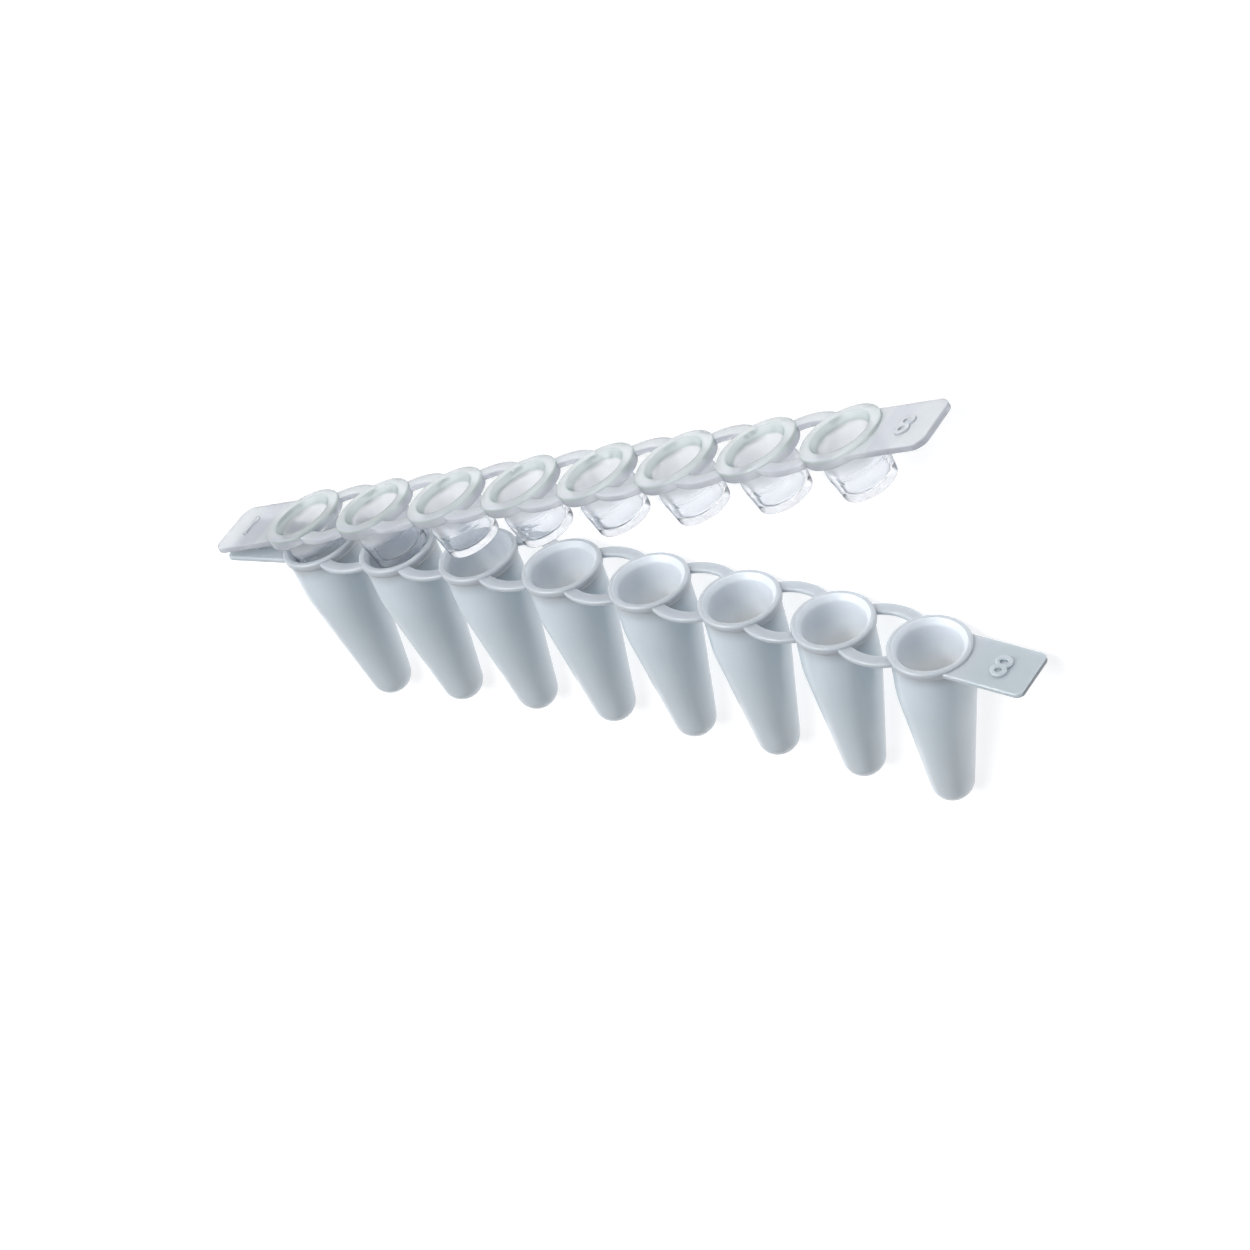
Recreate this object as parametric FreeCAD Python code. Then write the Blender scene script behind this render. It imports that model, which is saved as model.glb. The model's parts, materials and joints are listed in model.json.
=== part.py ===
"""A strip of eight low-profile PCR tubes with its separate strip of eight press-in caps.

Each strip is one moulding. They are drawn upright, with the tube mouths up and the row along X, and then laid
on their back as they come to rest on a bench. Millimetres and degrees.
"""
import FreeCAD, Part
import math
import os

# ---- the row, shared by both strips
TUBES = 8
PITCH = 9.0
BOW = 14.8  # between the two end tubes: the tube strip is moulded straight and has sprung to an arch

# ---- tube
TUBE_HEIGHT = 17.4  # mouth plane to the outside of the tip
BORE_RADIUS = 2.76  # the cap's seat
BORE_DEPTH = 6.0  # the straight bore, from the mouth plane
BORE_WALL = 0.6
LEAD_IN = 0.36  # wider than the bore on the mouth plane
LEAD_IN_DEPTH = 0.5
RIM_LAND = 0.05  # the short straight wall above the flare
NECK_RADIUS = BORE_RADIUS + BORE_WALL
NECK_DEPTH = 4.7  # where the outside starts to taper
TIP_RADIUS = 1.9  # outside
TIP_WALL = 0.36

# ---- flange round each mouth, and the arms and tabs that join the tubes
FLANGE_RADIUS = NECK_RADIUS + 0.22
FLANGE_THICKNESS = 0.75
FLANGE_CHAMFER = 0.16
ARM_REACH = FLANGE_RADIUS + 0.04  # from the row's centre line to the top of an arm's curve
ARM_CURVE = 5.0  # radius of its outer edge
ARM_WIDTH = 1.1
ARM_THICKNESS = 0.46
ARM_DROP = 0.24  # its top face below the mouth plane
ARM_CHAMFER = 0.12
TAB_REACH = 9.6  # from the end tube's axis
TAB_WIDTH = 5.2
TAB_CORNER = 0.7
TAB_ROOT = 0.3  # how far a tab's corners run into the end ring

# ---- cap: a ring that lands on the flange, and a hollow plug below it
RING_RADIUS = FLANGE_RADIUS + 0.12
RING_THICKNESS = 1.0
RING_CHAMFER = 0.14
BEAD_CLEARANCE = 0.06  # radial, between the sealing bead and the tube's bore
BEAD_RADIUS = BORE_RADIUS - BEAD_CLEARANCE
BEAD_TOP = 2.4  # below the ring's top face
BEAD_LENGTH = 0.5
BEAD_SLOPE = 0.3
PLUG_NECK = BEAD_RADIUS - 0.1
PLUG_DEPTH = 5.35  # ring's top face to the plug's foot
PLUG_WALL = 0.36
PLUG_FLOOR = 0.45
FOOT_RADIUS = BEAD_RADIUS - 0.27
FOOT_CHAMFER = 0.26
WELL_RADIUS = PLUG_NECK - PLUG_WALL
WELL_DRAFT = 0.2  # the radius that the well loses towards its floor
FUNNEL_RADIUS = WELL_RADIUS + 0.48  # the well's flared mouth, on the ring's top face
FUNNEL_DEPTH = 0.72

CAP_ARM_REACH = RING_RADIUS + 0.1
CAP_ARM_CURVE = 5.2
CAP_ARM_WIDTH = 1.25
CAP_ARM_THICKNESS = 0.6
CAP_ARM_DROP = 0.25
CAP_TAB_REACH = 9.8
CAP_TAB_WIDTH = 5.9
CAP_TAB_CORNER = 1.2

# ---- how the cap strip stands: its first plug is entering the first tube and the rest is swung clear
CAP_TILT = 9.15  # from the first tube's mouth plane
CAP_YAW = 1.2
CAP_ROLL = -0.2
FOOT_REACH = 2.494  # the most of the first plug that goes in, along its axis
BEAD_STAND = 0.456  # the least that its bead stays above the mouth plane, along the same axis
AXIS_OUT = 0.056  # where that axis crosses the mouth plane, outwards from the first tube's axis
AXIS_ASIDE = -0.0195  # and sideways from it

ABOVE = 1  # how far a hollow's cutter stands above the top face that it opens
ORIGIN = FreeCAD.Vector(0, 0, 0)
UP = FreeCAD.Vector(0, 0, 1)
STEP = BOW / (TUBES - 1)
ARCH_RADIUS = PITCH / math.radians(STEP)
LAST = (TUBES - 1) / 2  # the first tube, at the seated end, counted from the strip's middle


# ---- outlines

def lines(corners):
    """Edges through (radius, height) corners in the XZ plane."""
    spots = [FreeCAD.Vector(r, 0, z) for r, z in corners]
    return [Part.makeLine(a, b) for a, b in zip(spots, spots[1:])]


def turned(edges, angle=360):
    """The solid that a closed half-section in the XZ plane makes when it is turned about Z."""
    return Part.Face(Part.Wire(edges)).revolve(ORIGIN, UP, angle)


def tip_touch(radius, corner):
    """Where a line from a corner touches a ball at the tip's centre, as an angle up from the ball's equator."""
    r = corner[0]
    rise = corner[1] + TUBE_HEIGHT - TIP_RADIUS
    return math.atan2(rise, r) - math.acos(radius / math.hypot(r, rise))


def round_tipped(radius, corners):
    """A turned solid with a round tip, a cone tangent to it up to the first corner, and the corners above."""
    centre = TIP_RADIUS - TUBE_HEIGHT
    touch = tip_touch(radius, corners[0])
    bottom = -math.pi / 2
    low, middle, high = [
        (radius * math.cos(turn), centre + radius * math.sin(turn))
        for turn in (bottom, (bottom + touch) / 2, touch)
    ]
    tip = Part.Arc(*[FreeCAD.Vector(x, 0, y) for x, y in (low, middle, high)]).toShape()
    return turned([tip] + lines([high] + corners + [low]))


# ---- places along the row

def on_arch(position):
    """The arched strip's frame at a place counted in tubes from its middle, the seated end positive."""
    turn = position * STEP
    angle = math.radians(turn)
    base = FreeCAD.Vector(ARCH_RADIUS * math.sin(angle), 0, ARCH_RADIUS * (math.cos(angle) - 1))
    return FreeCAD.Placement(base, FreeCAD.Rotation(FreeCAD.Vector(0, 1, 0), turn))


def on_line(position):
    return FreeCAD.Placement(FreeCAD.Vector(position * PITCH, 0, 0), FreeCAD.Rotation())


def placed(shape, placement):
    copy = shape.copy()
    copy.Placement = placement.multiply(copy.Placement)
    return copy


# ---- what both strips have

def curved_arm(reach, curve, width, thickness, drop, ring_radius):
    """A link arm on the +Y side of the gap between two rings: a flat bar bent to an arc."""
    inner = curve - width
    bottom = -drop - thickness
    section = lines([
        (inner, bottom),
        (curve, bottom),
        (curve, -drop - ARM_CHAMFER),
        (curve - ARM_CHAMFER, -drop),
        (inner + ARM_CHAMFER, -drop),
        (inner, -drop - ARM_CHAMFER),
        (inner, bottom),
    ])
    half_span = (PITCH - ring_radius) / 2
    half_angle = math.degrees(math.asin(half_span / (curve - width / 2)))
    bar = turned(section, 2 * half_angle)
    bar.rotate(ORIGIN, UP, 90 - half_angle)
    bar.translate(FreeCAD.Vector(0, reach - curve, 0))
    return bar


def end_tab(reach, width, thickness, drop, corner, ring_radius):
    """A flat tab from inside the end ring out along +X."""
    root = math.sqrt(ring_radius ** 2 - (width / 2) ** 2) - TAB_ROOT
    start = FreeCAD.Vector(root, -width / 2, -drop - thickness)
    plate = Part.makeBox(reach - root, width, thickness, start)
    upright = [e for e in plate.Edges if e.BoundBox.ZLength > thickness / 2 and e.CenterOfMass.x > ring_radius]
    plate = plate.makeFillet(corner, upright)
    rim = [e for e in plate.Edges if e.BoundBox.ZMin > -drop - ARM_CHAMFER and e.CenterOfMass.x > root + corner]
    return plate.makeChamfer(ARM_CHAMFER, rim)


def ringed_strip(ring, hollow, arm, tab, place):
    """Rings joined by pairs of arms, with a tab at each end, fused and then hollowed."""
    about = FreeCAD.Placement(ORIGIN, FreeCAD.Rotation(UP, 180))
    rings = [place(LAST - i) for i in range(TUBES)]
    gaps = [place(LAST - i - 0.5) for i in range(TUBES - 1)]
    solids = [placed(ring, p) for p in rings]
    for gap in gaps:
        solids += [placed(arm, gap), placed(arm, gap.multiply(about))]
    solids += [placed(tab, rings[0]), placed(tab, rings[-1].multiply(about))]
    outside = solids[0].fuse(solids[1:]).removeSplitter()
    return outside.cut([placed(hollow, p) for p in rings])


# ---- tube strip

def tube_outside():
    """Flange, straight neck, cone and round tip."""
    return round_tipped(TIP_RADIUS, [
        (NECK_RADIUS, -NECK_DEPTH),
        (NECK_RADIUS, -FLANGE_THICKNESS),
        (FLANGE_RADIUS, -FLANGE_THICKNESS),
        (FLANGE_RADIUS, -FLANGE_CHAMFER),
        (FLANGE_RADIUS - FLANGE_CHAMFER, 0),
        (0, 0),
    ])


def tube_inside():
    """Lead-in, straight bore, cone and round bottom."""
    return round_tipped(TIP_RADIUS - TIP_WALL, [
        (BORE_RADIUS, -BORE_DEPTH),
        (BORE_RADIUS, -LEAD_IN_DEPTH),
        (BORE_RADIUS + LEAD_IN, -RIM_LAND),
        (BORE_RADIUS + LEAD_IN, ABOVE),
        (0, ABOVE),
    ])


def tube_strip():
    arm = curved_arm(ARM_REACH, ARM_CURVE, ARM_WIDTH, ARM_THICKNESS, ARM_DROP, FLANGE_RADIUS)
    tab = end_tab(TAB_REACH, TAB_WIDTH, ARM_THICKNESS, ARM_DROP, TAB_CORNER, FLANGE_RADIUS)
    return ringed_strip(tube_outside(), tube_inside(), arm, tab, on_arch)


# ---- cap strip

def cap_outside():
    """Ring, neck, sealing bead and tapered foot of one cap."""
    return turned(lines([
        (0, -PLUG_DEPTH),
        (FOOT_RADIUS - FOOT_CHAMFER, -PLUG_DEPTH),
        (FOOT_RADIUS, FOOT_CHAMFER - PLUG_DEPTH),
        (BEAD_RADIUS, -BEAD_TOP - BEAD_LENGTH),
        (BEAD_RADIUS, -BEAD_TOP),
        (PLUG_NECK, BEAD_SLOPE - BEAD_TOP),
        (PLUG_NECK, -RING_THICKNESS),
        (RING_RADIUS, -RING_THICKNESS),
        (RING_RADIUS, -RING_CHAMFER),
        (RING_RADIUS - RING_CHAMFER, 0),
        (0, 0),
        (0, -PLUG_DEPTH),
    ]))


def cap_inside():
    """The well that is open at the cap's top: a flared mouth and a tapered pocket."""
    floor = PLUG_FLOOR - PLUG_DEPTH
    return turned(lines([
        (0, floor),
        (WELL_RADIUS - WELL_DRAFT, floor),
        (WELL_RADIUS, -FUNNEL_DEPTH),
        (FUNNEL_RADIUS, 0),
        (FUNNEL_RADIUS, ABOVE),
        (0, ABOVE),
        (0, floor),
    ]))


def cap_strip():
    """The straight strip, placed over the arched tubes."""
    arm = curved_arm(CAP_ARM_REACH, CAP_ARM_CURVE, CAP_ARM_WIDTH, CAP_ARM_THICKNESS, CAP_ARM_DROP, RING_RADIUS)
    tab = end_tab(CAP_TAB_REACH, CAP_TAB_WIDTH, CAP_ARM_THICKNESS, CAP_ARM_DROP, CAP_TAB_CORNER, RING_RADIUS)
    straight = ringed_strip(cap_outside(), cap_inside(), arm, tab, on_line)
    turn = FreeCAD.Rotation(CAP_YAW, CAP_TILT, CAP_ROLL)
    stand = max(PLUG_DEPTH - FOOT_REACH, BEAD_TOP + BEAD_STAND)
    top = FreeCAD.Vector(AXIS_OUT, AXIS_ASIDE, 0) + turn.multVec(FreeCAD.Vector(0, 0, stand))
    first_ring = FreeCAD.Placement(top, turn)
    return placed(straight, on_arch(LAST).multiply(first_ring).multiply(on_line(-LAST)))


# ---- lying on the bench

def lying_tilt():
    """How far the row is tipped past flat on its back, when the end tubes rest on their cones or their rims."""
    cone = -tip_touch(TIP_RADIUS, (NECK_RADIUS, -NECK_DEPTH))
    rim_and_tip = -tip_touch(TIP_RADIUS, (FLANGE_RADIUS, -FLANGE_THICKNESS))
    dip = max(cone, rim_and_tip)
    return math.degrees(math.asin(math.sin(dip) / math.cos(math.radians(BOW / 2))))


def lie_down(shapes):
    """Lay the upright drawing on its back, centred, with its lowest point at the bench."""
    back = FreeCAD.Placement(ORIGIN, FreeCAD.Rotation(FreeCAD.Vector(1, 0, 0), 90 - lying_tilt()))
    lying = [placed(s, back) for s in shapes]
    box = Part.makeCompound(lying).BoundBox
    down = FreeCAD.Placement(FreeCAD.Vector(-box.Center.x, -box.Center.y, -box.ZMin), FreeCAD.Rotation())
    return [placed(s, down) for s in lying]


def main():
    os.makedirs("parts", exist_ok=True)
    strips = lie_down([tube_strip(), cap_strip()])
    for name, strip in zip(("tube_strip", "cap_strip"), strips):
        print(name, len(strip.Solids), "solid", round(strip.Volume, 2), "mm3", "valid", strip.isValid())
        strip.Solids[0].exportStep(f"parts/{name}.step")


main()
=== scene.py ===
"""The finished look of a strip of PCR tubes and its strip of caps, laid out as an add-on."""
import json
import math

import bpy
from mathutils import Matrix, Vector


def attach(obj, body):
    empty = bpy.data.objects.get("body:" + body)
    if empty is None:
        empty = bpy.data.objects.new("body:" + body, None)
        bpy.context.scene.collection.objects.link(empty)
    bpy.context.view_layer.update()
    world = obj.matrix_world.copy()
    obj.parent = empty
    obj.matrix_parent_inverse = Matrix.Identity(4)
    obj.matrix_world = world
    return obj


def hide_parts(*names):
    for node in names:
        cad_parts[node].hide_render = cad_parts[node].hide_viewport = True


bl_info = {
    "name": "PCR tube strip",
    "version": (1, 0, 0),
    "blender": (4, 5, 0),
    "location": "3D View > Sidebar > Tube strip",
    "description": "Models the tube strip and the cap strip, with their plastics, stage and camera",
    "category": "Object",
}

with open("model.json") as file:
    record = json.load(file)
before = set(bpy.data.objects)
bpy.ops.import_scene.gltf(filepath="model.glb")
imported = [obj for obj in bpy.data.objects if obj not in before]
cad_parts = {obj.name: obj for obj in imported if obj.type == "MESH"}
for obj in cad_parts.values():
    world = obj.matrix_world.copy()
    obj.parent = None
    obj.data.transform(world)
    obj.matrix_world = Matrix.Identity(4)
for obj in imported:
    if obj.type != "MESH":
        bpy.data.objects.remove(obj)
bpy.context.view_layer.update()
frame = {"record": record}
LAST_MOUTH = next(mount for mount in frame["record"]["mounts"] if mount["name"] == "mouth_8")
ABOVE = 0.001  # how far a hollow's cutter stands above the face that it opens
TIP_HOLE = 0.00002  # radius at which a turned profile stops beside the axis
WELD = 0.000001  # points closer than this are one
TAB_ROOT = 0.0003  # how far a tab reaches into its end ring
BESIDE_AXIS = -88.5  # degrees at which a round tip's arc stops, just short of the axis
SQUARE_EDGE = 60  # degrees: edges sharper than this are rounded on arms and tabs
CREASE = 32  # degrees: edges sharper than this are shaded as creases


# ---- sizes and settings

def mm(value):
    return value / 1000


def length(name, millimetres, description):
    return bpy.props.FloatProperty(
        name=name, description=description, default=mm(millimetres), precision=6, unit="LENGTH")


def angle(name, degrees, description):
    return bpy.props.FloatProperty(
        name=name, description=description, default=math.radians(degrees), precision=4, unit="ROTATION")


def colour(name, value, description):
    return bpy.props.FloatVectorProperty(
        name=name, description=description, default=value, size=4, min=0, max=1, subtype="COLOR")


def quantity(name, value, description):
    return bpy.props.FloatProperty(name=name, description=description, default=value, min=0)


def spot(name, metres, description):
    return bpy.props.FloatVectorProperty(
        name=name, description=description, default=metres, precision=6, subtype="TRANSLATION", unit="LENGTH")


class RowSizes(bpy.types.PropertyGroup):
    """What both strips share, and how they lie."""
    tubes: bpy.props.IntProperty(name="Tubes", description="Tubes in the strip", default=8, min=2)
    pitch: length("Pitch", 9.0, "From one tube's axis to the next")
    bow: angle("Bow", 14.8, "Between the axes of the two end tubes")
    lying_tilt: angle("Lying tilt", 7.6752, "How far the row is tipped past flat on its back")
    around: bpy.props.IntProperty(name="Around", description="Flats round a full circle", default=96, min=24)


class TubeSizes(bpy.types.PropertyGroup):
    """One tube, its flange, and the arms and tabs of the tube strip."""
    height: length("Height", 17.4, "Mouth plane to the outside of the tip")
    bore: length("Bore radius", 2.76, "The cap's seat")
    bore_depth: length("Bore depth", 6.0, "Length of the straight bore")
    lip: length("Lip", 0.36, "How far the bore flares at the mouth")
    lip_depth: length("Lip depth", 0.5, "Depth of the flare")
    lip_edge: length("Lip edge", 0.05, "Rounding between the flare and the flat rim")
    neck: length("Neck radius", 3.36, "Outside of the straight neck")
    neck_depth: length("Neck depth", 4.7, "Where the outside starts to taper")
    tip: length("Tip radius", 1.9, "Outside of the round tip")
    tip_wall: length("Tip wall", 0.36, "Wall of the cone and tip")
    flange: length("Flange radius", 3.58, "Outer edge of the flange")
    flange_depth: length("Flange thickness", 0.75, "Mouth plane to the underside of the flange")
    arm_reach: length("Arm reach", 3.62, "From the row's centre line to the top of an arm's curve")
    arm_curve: length("Arm curve", 5.0, "Radius of an arm's outer edge")
    arm_width: length("Arm width", 1.1, "Across an arm")
    arm_depth: length("Arm thickness", 0.46, "Thickness of arms and tabs")
    arm_drop: length("Arm drop", 0.24, "Arms and tabs below the mouth plane")
    tab_reach: length("Tab reach", 9.6, "From the end tube's axis to the tab's end")
    tab_width: length("Tab width", 5.2, "Across a tab")
    tab_corner: length("Tab corner", 0.7, "Corner radius of a tab")
    edge: length("Edge", 0.14, "Rounding of arms and tabs")
    rim_edge: length("Rim edge", 0.2, "Rounding of the flange")
    shoulder: length("Shoulder", 0.7, "Softening where the cone begins")


class CapSizes(bpy.types.PropertyGroup):
    """One cap, and the arms, tabs and place of the cap strip."""
    ring: length("Ring radius", 3.7, "Outer edge of the ring")
    ring_depth: length("Ring thickness", 1.0, "Thickness of the ring")
    funnel: length("Funnel radius", 2.72, "The well's flared mouth")
    funnel_depth: length("Funnel depth", 0.72, "Where the flare ends")
    well: length("Well radius", 2.24, "Top of the well's pocket")
    well_floor: length("Well floor radius", 2.04, "Bottom of the well's pocket")
    floor: length("Floor", 0.45, "Thickness of the plug's foot")
    neck: length("Plug neck radius", 2.6, "Plug above its bead")
    bead: length("Bead radius", 2.7, "The bead that seals in the bore")
    bead_top: length("Bead top", 2.4, "Bead below the ring's top face")
    bead_length: length("Bead length", 0.5, "Height of the bead")
    bead_slope: length("Bead slope", 0.3, "Height of the slope above the bead")
    bead_edge: length("Bead edge", 0.1, "Rounding of the bead")
    groove: length("Groove", 0.09, "Depth of the groove below the bead")
    groove_length: length("Groove length", 0.32, "Height of that groove")
    foot: length("Foot radius", 2.43, "The plug's foot")
    depth: length("Plug depth", 5.35, "The ring's top face to the plug's foot")
    arm_reach: length("Arm reach", 3.8, "From the row's centre line to the top of an arm's curve")
    arm_curve: length("Arm curve", 5.2, "Radius of an arm's outer edge")
    arm_width: length("Arm width", 1.25, "Across an arm")
    arm_depth: length("Arm thickness", 0.6, "Thickness of arms and tabs")
    arm_drop: length("Arm drop", 0.25, "Arms and tabs below the ring's top face")
    tab_reach: length("Tab reach", 9.8, "From the end cap's axis to the tab's end")
    tab_width: length("Tab width", 5.9, "Across a tab")
    tab_corner: length("Tab corner", 1.2, "Corner radius of a tab")
    edge: length("Edge", 0.12, "Rounding of arms and tabs")
    rim_edge: length("Rim edge", 0.18, "Rounding of the ring")
    foot_edge: length("Foot edge", 0.28, "Rounding of the plug's foot")
    pocket_edge: length("Pocket edge", 0.6, "Rounding of the well's floor")
    tilt: angle("Tilt", 9.15, "The cap strip from the first tube's mouth plane")
    yaw: angle("Yaw", 1.2, "The cap strip turned about the first tube's axis")
    roll: angle("Roll", -0.2, "The cap strip turned about its own length")
    lift: length("Lift", 2.816, "The first ring's top face above the mouth plane")
    shift: length("Shift", 0.508, "The first ring's centre outwards from the first tube's axis")


class Plastics(bpy.types.PropertyGroup):
    """Colours of the plastics and the floor, and the marks on the tabs."""
    tube: colour("Tube plastic", (0.44, 0.47, 0.505, 1), "White polypropylene of flanges and arms")
    tube_tab: colour("Tube tab", (0.41, 0.455, 0.485, 1), "The same on the thin end tabs")
    # Painted shade: the free tabs' end faces get this dark colour for the shade they sit in.
    tube_end_shade: colour("Tab end", (0.16, 0.18, 0.20, 1), "The cut face at a tab's end")
    tube_body: colour("Tube body", (0.555, 0.615, 0.66, 1), "The same below the flanges")
    # Painted light: the inner walls are paler than the outside, and palest deep down, for light that comes
    # through the thin walls.
    tube_inside_painted_light: colour("Tube inside", (0.67, 0.705, 0.75, 1), "The same inside, near the mouth")
    tube_deep_painted_light: colour("Tube depth", (0.945, 0.965, 0.985, 1), "The same deep inside, where light gathers")
    cap_ring: colour("Cap ring", (0.62, 0.67, 0.655, 1), "Frosted polypropylene of rings, arms and tabs")
    # Painted shade: this darker tone is laid along the rings' inner and outer edges by position.
    cap_ring_edge_shade: colour("Ring edge", (0.45, 0.53, 0.505, 1), "The frosted plastic seen edge on")
    # Painted shade on the strip's +Y side and the rings' outer sides; the same tone also lies near the tabs'
    # roots.
    cap_tab: colour("Cap tab", (0.53, 0.55, 0.60, 1), "The same on the thin end tabs")
    # Painted light: the neck under the ring gets this pale tone to offset the shade it lies in.
    cap_neck_painted_light: colour("Cap neck", (0.72, 0.75, 0.81, 1), "The same above the bead, where the wall is thinner")
    # Painted light: the inside of the well is made nearly white.
    cap_well: colour("Cap well", (0.94, 0.96, 0.985, 1), "The same inside the well")
    cap_plug: colour("Cap plug", (0.94, 0.955, 0.98, 1), "Clear polypropylene of the plugs")
    # Painted reflection: the clear plugs turn nearly black where they are seen edge on.
    cap_plug_painted_rim: colour("Plug edge", (0.01, 0.04, 0.09, 1), "The clear plastic seen edge on")
    floor: colour("Floor", (0.45, 0.45, 0.46, 1), "The bench, beside its own glow")
    glow: quantity("Glow", 0.72, "Light that the bench gives off")
    marks: bpy.props.StringProperty(name="Marks", description="Raised numbers on the tabs", default="18")
    mark_size: length("Mark size", 3.3, "Type size of the numbers")
    mark_height: length("Mark height", 0.16, "How far the numbers stand up, before their rounded edge")


class StageSettings(bpy.types.PropertyGroup):
    """Camera and light."""
    azimuth: angle("Azimuth", -46.358, "Camera round the row, 0 looking along +Y")
    elevation: angle("Elevation", 40.507, "Camera above the bench")
    roll: angle("Roll", -135.788, "Camera turned about its own line of sight")
    distance: length("Distance", 389.75, "Camera to the point it looks at")
    aim: spot("Aim", (-0.00268523, 0.00500144, 0.006027), "Point looked at")
    lens: quantity("Lens", 133.15, "Focal length in millimetres")
    key_place: spot("Key place", (0.3, -0.4, 0.8), "Where the soft key light hangs")
    key_size: length("Key size", 900, "Side of the key light")
    key_power: quantity("Key power", 10.0, "Power of the key light in watts")
    spark_place: spot("Spark place", (0.25, -0.55, 0.7), "Where the small light for crisp highlights hangs")
    spark_size: length("Spark size", 120, "Side of that light")
    spark_power: quantity("Spark power", 1.6, "Its power in watts")
    sky: quantity("Sky", 0.3, "Strength of the light from all round")


# ---- modelling

def nothing_selected():
    if bpy.context.object and bpy.context.object.mode != "OBJECT":
        bpy.ops.object.mode_set(mode="OBJECT")
    bpy.ops.object.select_all(action="DESELECT")


def activate(piece):
    nothing_selected()
    piece.select_set(True)
    bpy.context.view_layer.objects.active = piece


def tidy_normals():
    bpy.ops.object.mode_set(mode="EDIT")
    bpy.ops.mesh.select_all(action="SELECT")
    bpy.ops.mesh.normals_make_consistent(inside=False)
    bpy.ops.object.mode_set(mode="OBJECT")


def select_edges(piece, wanted):
    """Enters edit mode with the edges selected whose two end points both pass a test."""
    activate(piece)
    bpy.ops.object.mode_set(mode="EDIT")
    bpy.ops.mesh.select_mode(type="EDGE")
    bpy.ops.mesh.select_all(action="DESELECT")
    bpy.ops.object.mode_set(mode="OBJECT")
    points = [vertex.co for vertex in piece.data.vertices]
    for edge in piece.data.edges:
        edge.select = all(wanted(points[i]) for i in edge.vertices)
    bpy.ops.object.mode_set(mode="EDIT")


def bevel_loop(piece, radius, height, size, steps=4):
    """Rounds the loop of edges at a radius and height of a turned piece."""
    near = 5e-6
    select_edges(piece, lambda p: abs(math.hypot(p.x, p.y) - radius) < near and abs(p.z - height) < near)
    bpy.ops.mesh.bevel(offset=size, offset_type="OFFSET", segments=steps, profile=0.5, affect="EDGES")
    bpy.ops.object.mode_set(mode="OBJECT")


def turned(name, corners, around):
    """A closed solid of revolution about Z: a disc, extruded and resized to each (radius, height) corner."""
    nothing_selected()
    radius, height = corners[0]
    bpy.ops.mesh.primitive_circle_add(
        vertices=around, radius=radius, fill_type="NGON", location=(0, 0, height))
    bpy.ops.object.transform_apply(location=True, rotation=False, scale=False)
    piece = bpy.context.object
    piece.name = name
    bpy.ops.object.mode_set(mode="EDIT")
    bpy.ops.mesh.select_all(action="SELECT")
    for (r0, z0), (r1, z1) in zip(corners, corners[1:]):
        bpy.ops.mesh.extrude_region_move(TRANSFORM_OT_translate={"value": (0, 0, z1 - z0)})
        bpy.ops.transform.resize(value=(r1 / r0, r1 / r0, 1), center_override=(0, 0, z1))
    bpy.ops.object.mode_set(mode="OBJECT")
    tidy_normals()
    return piece


def arc(centre, radius, start, end, steps):
    """(radius, height) corners along an arc, angles in degrees up from the horizontal."""
    turns = [math.radians(start + (end - start) * i / steps) for i in range(steps + 1)]
    return [(centre[0] + radius * math.cos(t), centre[1] + radius * math.sin(t)) for t in turns]


def round_tip(radius, height, wall, corner, steps=9):
    """Corners of a round tip, from where a line from a corner touches it to just beside the axis."""
    centre = radius - height
    ball = radius - wall
    rise = corner[1] - centre
    touch = math.atan2(rise, corner[0]) - math.acos(ball / math.hypot(corner[0], rise))
    return arc((0, centre), ball, math.degrees(touch), BESIDE_AXIS, steps)


def curved_arm(name, reach, curve, width, depth, drop, ring, pitch, edge):
    """A link arm on the +Y side of a gap: an upright rectangle spun about the arm's centre, edges rounded."""
    middle = curve - width / 2
    half = math.asin((pitch - ring) / 2 / middle)
    start = math.pi / 2 + half
    place = (middle * math.cos(start), middle * math.sin(start), -drop - depth / 2)
    nothing_selected()
    bpy.ops.mesh.primitive_plane_add(size=1, location=place, rotation=(math.pi / 2, 0, start))
    piece = bpy.context.object
    piece.name = name
    piece.scale = (width, depth, 1)
    bpy.ops.object.transform_apply(location=True, rotation=True, scale=True)
    bpy.ops.object.mode_set(mode="EDIT")
    bpy.ops.mesh.select_all(action="SELECT")
    bpy.ops.mesh.spin(steps=28, angle=2 * half, center=(0, 0, 0), axis=(0, 0, 1))
    bpy.ops.mesh.select_all(action="SELECT")
    bpy.ops.mesh.remove_doubles(threshold=WELD)
    bpy.ops.object.mode_set(mode="OBJECT")
    tidy_normals()
    soften(piece, edge, 3)
    piece.data.transform(Matrix.Translation((0, reach - curve, 0)))
    return piece


def soften(piece, size, steps):
    """Rounds every square edge of a piece with a bevel."""
    activate(piece)
    bevel = piece.modifiers.new("Edges", "BEVEL")
    bevel.width = size
    bevel.segments = steps
    bevel.limit_method = "ANGLE"
    bevel.angle_limit = math.radians(SQUARE_EDGE)
    bpy.ops.object.modifier_apply(modifier=bevel.name)


def end_tab(name, reach, width, depth, drop, corner, ring, edge):
    """A flat tab along +X, from inside the end ring, with its outer corners and its edges rounded."""
    root = math.sqrt(ring ** 2 - (width / 2) ** 2) - TAB_ROOT
    nothing_selected()
    bpy.ops.mesh.primitive_cube_add(size=1, location=((root + reach) / 2, 0, -drop - depth / 2))
    piece = bpy.context.object
    piece.name = name
    piece.scale = (reach - root, width, depth)
    bpy.ops.object.transform_apply(location=True, rotation=True, scale=True)
    select_upright_corners(piece, reach)
    bpy.ops.mesh.bevel(offset=corner, offset_type="OFFSET", segments=10, profile=0.5, affect="EDGES")
    bpy.ops.object.mode_set(mode="OBJECT")
    soften(piece, edge, 3)
    return piece


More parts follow.
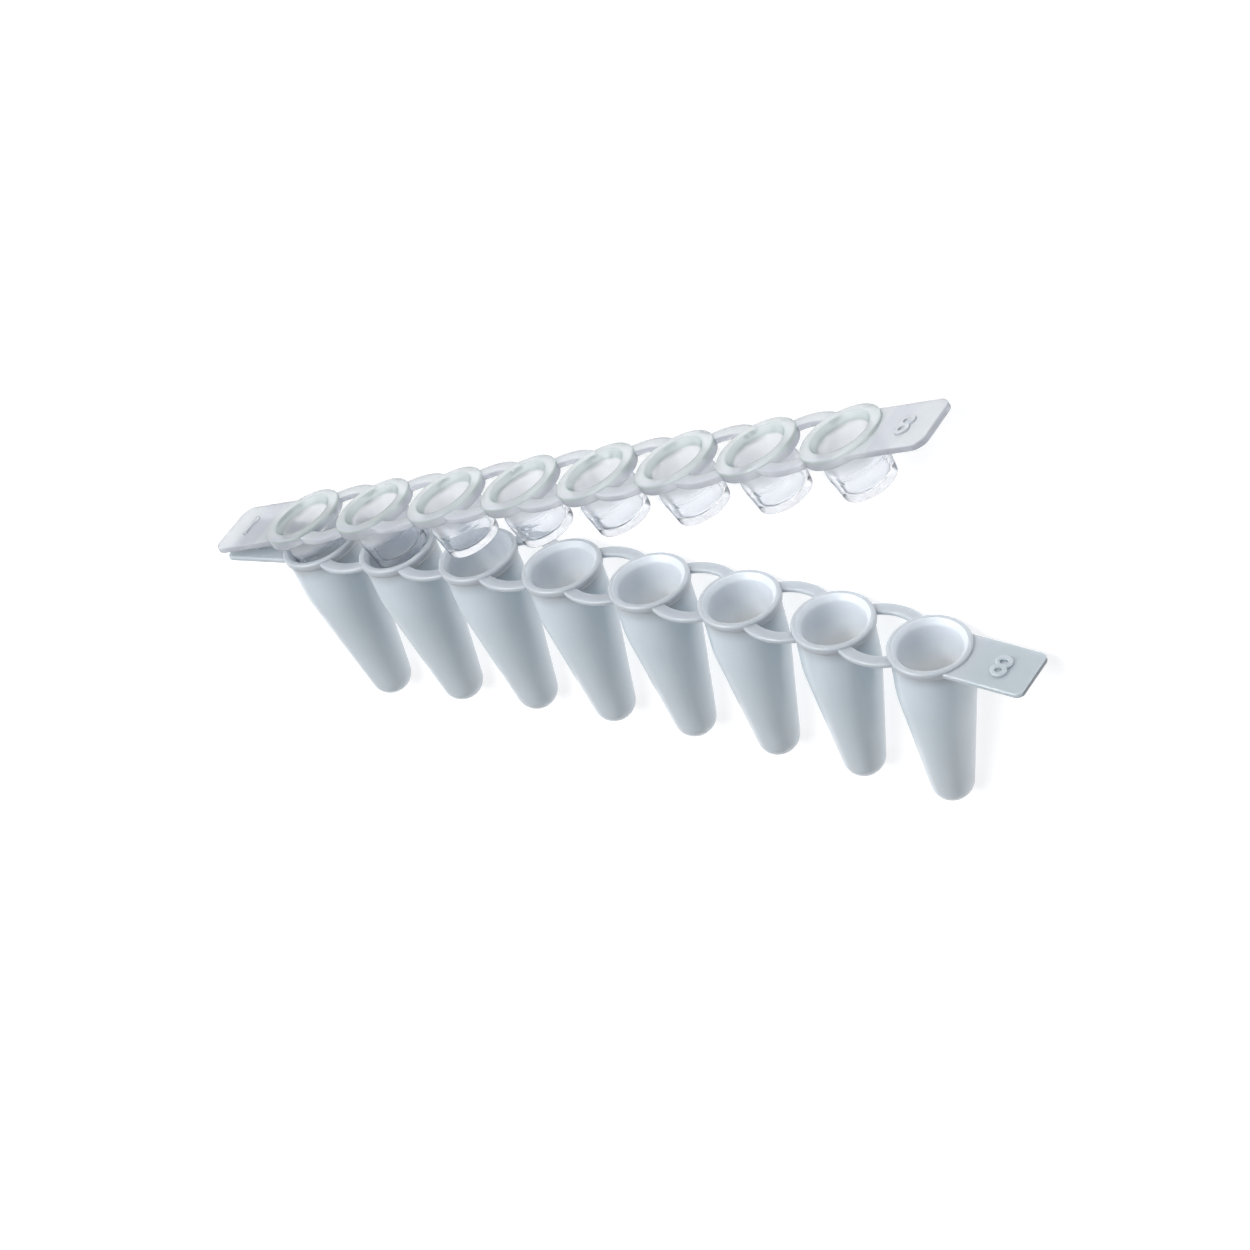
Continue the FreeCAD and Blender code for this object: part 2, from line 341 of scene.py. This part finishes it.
def select_upright_corners(piece, reach):
    """Enters edit mode with the two upright edges at a tab's end selected."""
    activate(piece)
    bpy.ops.object.mode_set(mode="EDIT")
    bpy.ops.mesh.select_mode(type="EDGE")
    bpy.ops.mesh.select_all(action="DESELECT")
    bpy.ops.object.mode_set(mode="OBJECT")
    points = [vertex.co for vertex in piece.data.vertices]
    for edge in piece.data.edges:
        a, b = (points[i] for i in edge.vertices)
        edge.select = all(gap < WELD for gap in (abs(a.x - reach), abs(b.x - reach), abs(a.y - b.y)))
    bpy.ops.object.mode_set(mode="EDIT")


def raised_number(text, size, height):
    """A plain number that stands up from its place on a tab."""
    rounding = 0.3  # of its height
    nothing_selected()
    bpy.ops.object.text_add()
    mark = bpy.context.object
    mark.data.body = text
    mark.data.size = size
    mark.data.align_x = "CENTER"
    mark.data.align_y = "CENTER"
    mark.data.extrude = height
    mark.data.bevel_depth = height * rounding
    mark.data.bevel_resolution = 1
    mark.data.resolution_u = 5
    bpy.ops.object.convert(target="MESH")
    mark = bpy.context.object
    bpy.ops.object.mode_set(mode="EDIT")
    bpy.ops.mesh.select_all(action="SELECT")
    bpy.ops.mesh.remove_doubles(threshold=WELD)
    bpy.ops.object.mode_set(mode="OBJECT")
    tidy_normals()
    return mark


def copied(piece, place):
    """A copy of a piece with its own mesh, set in place."""
    copy = piece.copy()
    copy.data = piece.data.copy()
    copy.data.transform(place)
    bpy.context.scene.collection.objects.link(copy)
    return copy


def joined(pieces):
    nothing_selected()
    for piece in pieces:
        piece.select_set(True)
    bpy.context.view_layer.objects.active = pieces[0]
    bpy.ops.object.join()
    return pieces[0]


def combined(piece, other, operation):
    """Unites a piece with another or cuts the other from it, and removes the other."""
    activate(piece)
    boolean = piece.modifiers.new("Combine", "BOOLEAN")
    boolean.operation = operation
    boolean.solver = "EXACT"
    boolean.object = other
    bpy.ops.object.modifier_apply(modifier=boolean.name)
    bpy.data.objects.remove(other)


def moulding(name, ring, hollow, arm, tab, numbers, on_row, tubes):
    """Rings united with arms, tabs and numbers, and then hollowed, as one piece."""
    last = (tubes - 1) / 2
    about = Matrix.Rotation(math.pi, 4, "Z")
    rings = [on_row(last - i) for i in range(tubes)]
    gaps = [on_row(last - 0.5 - i) for i in range(tubes - 1)]
    links = [copied(arm, gap @ turn) for gap in gaps for turn in (Matrix.Identity(4), about)]
    links += [copied(tab, rings[0]), copied(tab, rings[-1] @ about)]
    piece = joined([copied(ring, place) for place in rings])
    combined(piece, joined(links), "UNION")
    combined(piece, joined([copied(hollow, place) for place in rings]), "DIFFERENCE")
    for mark, place in numbers:
        combined(piece, copied(mark, on_row(place)), "UNION")
        bpy.data.objects.remove(mark)
    for model in (ring, hollow, arm, tab):
        bpy.data.objects.remove(model)
    piece.name = name
    piece.data.name = name
    return piece


def smooth(piece):
    """Smooth shading with creases, and flat faces kept flat."""
    activate(piece)
    bpy.ops.object.shade_smooth_by_angle(angle=math.radians(CREASE))
    weigh = piece.modifiers.new("Weigh", "WEIGHTED_NORMAL")
    weigh.keep_sharp = True
    bpy.ops.object.modifier_apply(modifier=weigh.name)


def store(piece, name, measure):
    """Stores a measure of each point's place, which the plastic reads."""
    values = piece.data.attributes.new(name, "FLOAT", "POINT")
    values.data.foreach_set("value", [measure(vertex.co) for vertex in piece.data.vertices])


# ---- places

def row_end():
    """From the middle of a straight strip to its last tube's axis."""
    row = bpy.context.scene.pcr_row
    return row.pitch * (row.tubes - 1) / 2


def arch_radius():
    """Radius of the arch on which the tubes' mouths lie."""
    row = bpy.context.scene.pcr_row
    return row.pitch * (row.tubes - 1) / row.bow


def on_arch(position):
    """The arched strip's frame at a place counted in tubes from its middle, the seated end positive."""
    row = bpy.context.scene.pcr_row
    radius = arch_radius()
    turn = row.bow / (row.tubes - 1) * position
    base = Vector((radius * math.sin(turn), 0, radius * (math.cos(turn) - 1)))
    return Matrix.Translation(base) @ Matrix.Rotation(turn, 4, "Y")


def on_line(position):
    return Matrix.Translation((bpy.context.scene.pcr_row.pitch * position, 0, 0))


def lying():
    """From the upright drawing to the row's place in the frame, matched to the last tube's bore."""
    row = bpy.context.scene.pcr_row
    tube = bpy.context.scene.pcr_tube
    turn = Matrix.Rotation(math.pi / 2 - row.lying_tilt, 4, "X")
    bore_middle = (tube.lip_depth + tube.bore_depth) / 2
    drawn = turn @ on_arch(-(row.tubes - 1) / 2) @ Vector((0, 0, -bore_middle))
    return Matrix.Translation(Vector(LAST_MOUTH["pos_m"]) - drawn) @ turn


def over_tubes():
    """From the straight cap strip's own frame to its place over the arched tubes."""
    row = bpy.context.scene.pcr_row
    cap = bpy.context.scene.pcr_cap
    last = (row.tubes - 1) / 2
    turn = (Matrix.Rotation(cap.yaw, 4, "Z") @ Matrix.Rotation(cap.tilt, 4, "Y")
            @ Matrix.Rotation(cap.roll, 4, "X"))
    ring = Matrix.Translation((cap.shift, 0, cap.lift)) @ turn
    return on_arch(last) @ ring @ on_line(-last)


# ---- plastics

class Signal:
    """A number that runs through a material's nodes, for use in Python expressions."""

    def __init__(self, finish, socket):
        self.finish = finish
        self.socket = socket

    def joined_by(self, operation, first, second):
        made = self.finish.node("Math", {"operation": operation}, {0: first, 1: second})
        return Signal(self.finish, made.outputs[0])

    def __add__(self, other):
        return self.joined_by("ADD", self, other)

    def __sub__(self, other):
        return self.joined_by("SUBTRACT", self, other)

    def __mul__(self, other):
        return self.joined_by("MULTIPLY", self, other)

    def __radd__(self, other):
        return self.joined_by("ADD", other, self)

    def __rsub__(self, other):
        return self.joined_by("SUBTRACT", other, self)

    def __rmul__(self, other):
        return self.joined_by("MULTIPLY", other, self)

    def math(self, operation, other=0.0):
        return self.joined_by(operation, self, other)


class Finish:
    """A material in the making, with its shader and its nodes."""

    def __init__(self, name, shader):
        self.material = bpy.data.materials.new(name)
        self.material.use_nodes = True
        self.tree = self.material.node_tree
        self.shader = self.tree.nodes["Principled BSDF"]
        for socket, value in shader.items():
            self.shader.inputs[socket].default_value = value

    def node(self, kind, settings, inputs):
        """Adds a node, makes its settings, and then fills or links its sockets."""
        made = self.tree.nodes.new("ShaderNode" + kind)
        for key, value in settings.items():
            setattr(made, key, value)
        for key, value in inputs.items():
            self.feed(made.inputs[key], value)
        return made

    def feed(self, socket, value):
        if isinstance(value, Signal):
            value = value.socket
        if isinstance(value, bpy.types.NodeSocket):
            self.tree.links.new(value, socket)
        else:
            socket.default_value = value

    def place(self):
        return self.node("TexCoord", {}, {}).outputs["Object"]

    def noise(self, scale, detail=2.0, roughness=0.5):
        """Cloudy variation from 0 to 1, with a number of features to the metre."""
        made = self.node("TexNoise", {}, {
            "Vector": self.place(), "Scale": scale, "Detail": detail, "Roughness": roughness})
        return Signal(self, made.outputs["Fac"])

    def stored(self, name):
        """A measure that the piece stores at its points, in metres."""
        return Signal(self, self.node("Attribute", {"attribute_name": name}, {}).outputs["Fac"])

    def between(self, value, low, high):
        """0 below low, 1 above high, eased between them."""
        made = self.node("MapRange", {"interpolation_type": "SMOOTHSTEP"}, {
            "Value": value, "From Min": low, "From Max": high})
        return Signal(self, made.outputs["Result"])

    def grazing(self, blend):
        """0 where a surface faces the eye, up to 1 where it is seen edge on."""
        return Signal(self, self.node("LayerWeight", {}, {"Blend": blend}).outputs["Facing"])

    def mix(self, amount, first, second):
        """One colour blended into another."""
        made = self.node("Mix", {"data_type": "RGBA"}, {0: amount, 6: first, 7: second})
        return made.outputs[2]

    def blend(self, amount, shader):
        """Adds a second shader, which takes over as the amount rises."""
        second = self.node("BsdfPrincipled", {}, shader)
        mixed = self.node("MixShader", {}, {0: amount, 1: self.shader.outputs[0], 2: second.outputs[0]})
        self.feed(self.tree.nodes["Material Output"].inputs["Surface"], mixed.outputs[0])
        return second

    def bump(self, height, distance, strength):
        """Gives every shader so far a fine relief."""
        made = self.node("Bump", {}, {"Height": height, "Distance": distance, "Strength": strength})
        for node in [node for node in self.tree.nodes if node.type == "BSDF_PRINCIPLED"]:
            self.feed(node.inputs["Normal"], made.outputs["Normal"])


def tube_plastic():
    """White polypropylene: satin, and so thin that light from behind comes through, with painted light on its
    inner walls and painted shade on its tabs' end faces.
    """
    colours = bpy.context.scene.pcr_plastics
    size = bpy.context.scene.pcr_tube
    made = Finish("tube_plastic", {
        "IOR": 1.49,
        "Subsurface Weight": 1.0,
        "Subsurface Radius": (0.95, 1.0, 1.0),
        "Subsurface Scale": mm(1.0),
        "Coat Weight": 0.35,
        "Coat Roughness": 0.12,
    })
    depth = made.stored("depth") + (made.noise(180, 3) - 0.5) * mm(1.0)
    past_flange = made.stored("tab")
    tab_end = size.tab_reach - size.flange
    body = made.between(depth, mm(0.6), mm(2.2))
    outside = made.mix(body, tuple(colours.tube), tuple(colours.tube_body))
    tab = made.between(past_flange, 0.0, mm(1.2))
    outside = made.mix(tab, outside, tuple(colours.tube_tab))
    # Painted shade: the end face of each free tab is darkened.
    shaded = made.between(past_flange, tab_end - mm(0.1), tab_end - mm(0.03))
    outside = made.mix(shaded, outside, tuple(colours.tube_end_shade))
    # Painted light: inner walls get paler colours, palest deep inside the tube.
    deep = made.between(depth, mm(1.0), mm(5.5))
    inside = made.mix(deep, tuple(colours.tube_inside_painted_light), tuple(colours.tube_deep_painted_light))
    made.feed(made.shader.inputs["Base Color"], made.mix(made.stored("inside"), outside, inside))
    made.feed(made.shader.inputs["Roughness"], 0.27 + made.noise(900, 4) * 0.12)
    made.bump(made.noise(6000, 3) * 0.6 + made.noise(500, 2), mm(0.02), 0.3)
    return made.material


def ring_distance(made):
    """How far a place of the cap strip is from the nearest ring's axis, across the strip's own drawing."""
    half = bpy.context.scene.pcr_row.pitch / 2
    end = row_end()
    from_end = (made.stored("along") + end).math("MAXIMUM", -half).math("MINIMUM", 2 * end + half)
    aside = from_end.math("PINGPONG", half)
    across = made.stored("across")
    return (aside * aside + across * across).math("POWER", 0.5)


def milky_tone(made, depth, uneven):
    """The milky plastic's colour: greenish rings with painted shade at their edges, a lilac tone that is
    painted shade on the strip's +Y side and the rings' outer sides and that also lies near the tabs' roots,
    and painted light on the neck and in the well.
    """
    colours = bpy.context.scene.pcr_plastics
    size = bpy.context.scene.pcr_cap
    from_axis = ring_distance(made)
    middle = (size.ring + size.funnel) / 2
    half = (size.ring - size.funnel) / 2
    # Painted shade: the rings' outer sides and the strip's +Y half take the lilac tone; the tabs near their
    # roots take it too.
    side = made.between(depth, mm(0.1), mm(0.45)) * made.between(from_axis, middle, size.ring)
    # Painted shade: the rings are darkened towards their inner and outer edges.
    edge_shade_start, edge_shade_strength = half * 0.45, 0.8
    edges = made.between((from_axis - middle).math("ABSOLUTE"), edge_shade_start, half)
    edges = edges * (1 - made.between(from_axis, size.ring, size.ring + mm(0.2))) * (1 - side)
    front_shade = made.between(made.stored("across") + uneven, mm(1.6), mm(3.8))
    past_ring = made.stored("along").math("ABSOLUTE") - (row_end() + size.ring)
    root = made.between(past_ring, 0.0, mm(0.8)) * (1 - made.between(past_ring, mm(2), mm(5)))
    lilac = front_shade.math("MAXIMUM", side).math("MAXIMUM", root)
    tone = made.mix(lilac, tuple(colours.cap_ring), tuple(colours.cap_tab))
    tone = made.mix(edges * edge_shade_strength, tone, tuple(colours.cap_ring_edge_shade))
    # Painted light: the plug's neck below the ring is lightened.
    neck = made.between(depth, mm(0.7), mm(1.2))
    tone = made.mix(neck, tone, tuple(colours.cap_neck_painted_light))
    # Painted light: the well's inner walls and floor are made nearly white.
    well = 1 - made.between(from_axis, size.well + mm(0.1), size.well + mm(0.2))
    well = well * made.between(depth, mm(0.5), mm(0.8))
    return made.mix(well, tone, tuple(colours.cap_well))


def cap_plastic():
    """Polypropylene that is milky where it is thick, and nearly clear in the thin plugs, whose rims get a
    painted dark reflection.
    """
    colours = bpy.context.scene.pcr_plastics
    made = Finish("cap_plastic", {
        "IOR": 1.49,
        "Transmission Weight": 0.15,
        "Subsurface Weight": 1.0,
        "Subsurface Radius": (1.0, 1.0, 1.0),
        "Subsurface Scale": mm(1.5),
    })
    haze = made.noise(260, 3)
    uneven = (haze - 0.5) * mm(0.6)
    depth = made.stored("depth") + uneven * 0.3
    ring_clearness, more_in_plug = 0.5, 0.44
    clearness = ring_clearness + made.between(depth, mm(2.1), mm(3)) * more_in_plug
    clear = made.blend(clearness, {"IOR": 1.17, "Transmission Weight": 1.0})
    # Painted reflection: a dark rim where the clear plastic is seen edge on.
    painted_rim = made.between(made.grazing(0.5), 0.5, 0.88)
    clear_tone = made.mix(painted_rim, tuple(colours.cap_plug), tuple(colours.cap_plug_painted_rim))
    made.feed(made.shader.inputs["Base Color"], milky_tone(made, depth, uneven))
    made.feed(clear.inputs["Base Color"], clear_tone)
    made.feed(made.shader.inputs["Roughness"], 0.2 + haze * 0.1)
    made.feed(clear.inputs["Roughness"], 0.05 + haze * 0.06)
    made.bump(made.noise(420, 2) + made.noise(4000, 3) * 0.1, mm(0.02), 0.2)
    return made.material


def bench_surface():
    """Pale, matt and almost even, and lit from within like a light table."""
    colours = bpy.context.scene.pcr_plastics
    made = Finish("bench", {
        "Roughness": 0.85,
        "Specular IOR Level": 0.2,
        "Emission Color": (1, 1, 1, 1),
        "Emission Strength": colours.glow,
    })
    clouded = 0.985
    darker = tuple(part * clouded for part in colours.floor[:3]) + (1,)
    made.feed(made.shader.inputs["Base Color"], made.mix(made.noise(14, 4), tuple(colours.floor), darker))
    made.bump(made.noise(700, 3), mm(0.03), 0.2)
    return made.material


# ---- operators

class PCR_OT_tube_moulding(bpy.types.Operator):
    """Models the tubes with their flanges, arms, tabs and numbers as one moulding"""
    bl_idname = "pcr.tube_moulding"
    bl_label = "Tube moulding"

    def execute(self, context):
        row = context.scene.pcr_row
        size = context.scene.pcr_tube
        shoulder = (size.neck, -size.neck_depth)
        outside = turned("tube", [
            (size.flange, 0),
            (size.flange, -size.flange_depth),
            (size.neck, -size.flange_depth),
            shoulder,
        ] + round_tip(size.tip, size.height, 0, shoulder), row.around)
        bevel_loop(outside, size.flange, 0, size.rim_edge)
        bevel_loop(outside, size.flange, -size.flange_depth, size.rim_edge)
        bevel_loop(outside, size.neck, -size.flange_depth, size.edge)
        bevel_loop(outside, size.neck, -size.neck_depth, size.shoulder)
        mouth = size.bore + size.lip
        lip_corner = size.lip_edge * 0.3
        bore_end = (size.bore, -size.bore_depth)
        inside = turned("tube_hollow", [
            (mouth + size.lip_edge, ABOVE),
            (mouth + size.lip_edge, 0),
            (mouth + lip_corner, -lip_corner),
            (mouth, -size.lip_edge),
            (size.bore, -size.lip_depth),
            bore_end,
        ] + round_tip(size.tip, size.height, size.tip_wall, bore_end), row.around)
        bevel_loop(inside, size.bore, -size.lip_depth, size.edge)
        arm = curved_arm("tube_arm", size.arm_reach, size.arm_curve, size.arm_width, size.arm_depth,
                         size.arm_drop, size.flange, row.pitch, size.edge)
        tab = end_tab("tube_tab", size.tab_reach, size.tab_width, size.arm_depth, size.arm_drop,
                      size.tab_corner, size.flange, size.edge)
        numbers = tab_numbers(row, size.tab_reach, size.flange, size.arm_drop)
        piece = moulding("tube_moulding", outside, inside, arm, tab, numbers, on_arch, row.tubes)
        radius = arch_radius()
        half_bow = row.bow / 2
        store(piece, "depth", lambda p: radius - math.hypot(p.x, p.z + radius))
        store(piece, "tab", lambda p: radius * (math.atan2(abs(p.x), p.z + radius) - half_bow) - size.flange)
        store(piece, "inside", is_inside)
        finish_piece(piece, lying(), "tubes", "tube_strip", tube_plastic())
        return {"FINISHED"}


def is_inside(point):
    """1 for a point of the arched tube strip on the inner side of a wall, 0 for one on the outer side."""
    row = bpy.context.scene.pcr_row
    size = bpy.context.scene.pcr_tube
    last = (row.tubes - 1) / 2
    turn = math.atan2(point.x, point.z + arch_radius())
    position = turn / row.bow * (row.tubes - 1)
    nearest = max(-last, min(last, round(position - last) + last))
    local = on_arch(nearest).inverted() @ point
    around = math.hypot(local.x, local.y)
    down = -local.z
    fall = (down - size.neck_depth) / (size.height - size.tip - size.neck_depth)
    neck_middle = (size.bore + size.neck) / 2
    tip_middle = size.tip - size.tip_wall / 2
    middle = neck_middle + (tip_middle - neck_middle) * max(0, fall)
    if down < size.lip_depth:
        just_inside_rim = size.lip_edge * 0.9
        middle = size.bore + size.lip + just_inside_rim
    tip_centre = size.height - size.tip
    from_tip = math.hypot(around, down - tip_centre)
    return float(around < middle if down < tip_centre else from_tip < tip_middle)


def tab_numbers(row, reach, ring, drop):
    """The first and last tube's number, each on its own end tab, with its place in tubes."""
    marks = bpy.context.scene.pcr_plastics
    last = (row.tubes - 1) / 2
    made = []
    for text, end in zip(marks.marks, (1, -1)):
        digit = raised_number(text, marks.mark_size, marks.mark_height)
        middle = end * (ring + reach) / 2
        digit.data.transform(Matrix.Translation((middle, 0, -drop)))
        made.append((digit, end * last))
    return made


def finish_piece(piece, place, body, node, material):
    """Sets a moulding in the frame, shades it, gives it its plastic and ties it to its body."""
    piece.data.transform(place)
    smooth(piece)
    piece.data.materials.clear()
    piece.data.materials.append(material)
    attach(piece, body)
    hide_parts(node)


class PCR_OT_cap_moulding(bpy.types.Operator):
    """Models the caps with their arms, tabs and numbers as one moulding"""
    bl_idname = "pcr.cap_moulding"
    bl_label = "Cap moulding"

    def execute(self, context):
        row = context.scene.pcr_row
        size = context.scene.pcr_cap
        bead_end = -size.bead_top - size.bead_length
        groove = (size.bead - size.groove, bead_end - size.groove_length / 3)
        groove_end = (size.bead - size.groove, bead_end - size.groove_length * 2 / 3)
        below = size.bead - (size.bead - size.foot) * size.groove_length / (size.depth + bead_end)
        outside = turned("cap", [
            (size.ring, 0),
            (size.ring, -size.ring_depth),
            (size.neck, -size.ring_depth),
            (size.neck, size.bead_slope - size.bead_top),
            (size.bead, -size.bead_top),
            (size.bead, bead_end),
            groove,
            groove_end,
            (below, bead_end - size.groove_length),
            (size.foot, -size.depth),
            (TIP_HOLE, -size.depth),
        ], row.around)
        bevel_loop(outside, size.ring, 0, size.rim_edge)
        bevel_loop(outside, size.ring, -size.ring_depth, size.rim_edge)
        bevel_loop(outside, size.foot, -size.depth, size.foot_edge)
        bevel_loop(outside, size.bead, -size.bead_top, size.bead_edge)
        pocket_floor = size.floor - size.depth
        inside = turned("cap_well", [
            (size.funnel, ABOVE),
            (size.funnel, 0),
            (size.well, -size.funnel_depth),
            (size.well_floor, pocket_floor),
            (TIP_HOLE, pocket_floor),
        ], row.around)
        bevel_loop(inside, size.well, -size.funnel_depth, size.foot_edge)
        bevel_loop(inside, size.well_floor, pocket_floor, size.pocket_edge)
        arm = curved_arm("cap_arm", size.arm_reach, size.arm_curve, size.arm_width, size.arm_depth,
                         size.arm_drop, size.ring, row.pitch, size.edge)
        tab = end_tab("cap_tab", size.tab_reach, size.tab_width, size.arm_depth, size.arm_drop,
                      size.tab_corner, size.ring, size.edge)
        numbers = tab_numbers(row, size.tab_reach, size.ring, size.arm_drop)
        piece = moulding("cap_moulding", outside, inside, arm, tab, numbers, on_line, row.tubes)
        store(piece, "depth", lambda p: -p.z)
        store(piece, "along", lambda p: p.x)
        store(piece, "across", lambda p: p.y)
        finish_piece(piece, lying() @ over_tubes(), "caps", "cap_strip", cap_plastic())
        return {"FINISHED"}


class PCR_OT_stage(bpy.types.Operator):
    """Sets the bench, the light and the camera"""
    bl_idname = "pcr.stage"
    bl_label = "Stage"

    def execute(self, context):
        stage = context.scene.pcr_stage
        nothing_selected()
        bpy.ops.mesh.primitive_plane_add(size=4)
        bench = context.object
        bench.name = "bench"
        bench.data.materials.append(bench_surface())
        aim = Vector(stage.aim)
        add_light("key_light", stage.key_place, aim, stage.key_size, stage.key_power)
        add_light("spark_light", stage.spark_place, aim, stage.spark_size, stage.spark_power)
        add_sky(context.scene, stage.sky)
        add_camera(context.scene, stage, aim)
        context.scene.view_settings.view_transform = "Standard"
        return {"FINISHED"}


def add_light(name, place, aim, size, power):
    """A square soft light turned towards a point."""
    nothing_selected()
    bpy.ops.object.light_add(type="AREA", location=place)
    light = bpy.context.object
    light.name = name
    light.data.size = size
    light.data.energy = power
    light.rotation_euler = (light.location - aim).to_track_quat("Z", "Y").to_euler()


def add_sky(scene, strength):
    """Even pale light from all round."""
    sky = bpy.data.worlds.new("sky")
    sky.use_nodes = True
    background = sky.node_tree.nodes["Background"]
    background.inputs["Color"].default_value = (0.95, 0.97, 1.0, 1)
    background.inputs["Strength"].default_value = strength
    scene.world = sky


def add_camera(scene, stage, aim):
    back = Vector((
        math.sin(stage.azimuth) * math.cos(stage.elevation),
        -math.cos(stage.azimuth) * math.cos(stage.elevation),
        math.sin(stage.elevation),
    ))
    data = bpy.data.cameras.new("camera")
    data.sensor_width = 36
    data.lens = stage.lens
    data.clip_start = 0.01
    data.clip_end = 10
    camera = bpy.data.objects.new("camera", data)
    scene.collection.objects.link(camera)
    towards = back.to_track_quat("Z", "Y").to_matrix().to_4x4()
    camera.matrix_world = (Matrix.Translation(aim + back * stage.distance) @ towards
                           @ Matrix.Rotation(stage.roll, 4, "Z"))
    scene.camera = camera


class PCR_PT_panel(bpy.types.Panel):
    """Buttons that make each piece, and the sizes they use"""
    bl_idname = "PCR_PT_panel"
    bl_label = "PCR tube strip"
    bl_space_type = "VIEW_3D"
    bl_region_type = "UI"
    bl_category = "Tube strip"

    def draw(self, context):
        for operator in OPERATORS:
            self.layout.operator(operator.bl_idname)
        for holder in SETTINGS:
            box = self.layout.box()
            settings = getattr(context.scene, holder)
            for field in settings.bl_rna.properties:
                if not field.is_readonly and field.identifier != "name":
                    box.prop(settings, field.identifier)


OPERATORS = (PCR_OT_tube_moulding, PCR_OT_cap_moulding, PCR_OT_stage)
SETTINGS = {
    "pcr_row": RowSizes,
    "pcr_tube": TubeSizes,
    "pcr_cap": CapSizes,
    "pcr_plastics": Plastics,
    "pcr_stage": StageSettings,
}


def register():
    for group in (*SETTINGS.values(), *OPERATORS, PCR_PT_panel):
        bpy.utils.register_class(group)
    for holder, group in SETTINGS.items():
        setattr(bpy.types.Scene, holder, bpy.props.PointerProperty(type=group))


def unregister():
    for holder in SETTINGS:
        delattr(bpy.types.Scene, holder)
    for group in (PCR_PT_panel, *reversed(OPERATORS), *reversed(tuple(SETTINGS.values()))):
        bpy.utils.unregister_class(group)


def main():
    register()
    bpy.ops.pcr.tube_moulding()
    bpy.ops.pcr.cap_moulding()
    bpy.ops.pcr.stage()


if __name__ == "__main__":
    main()
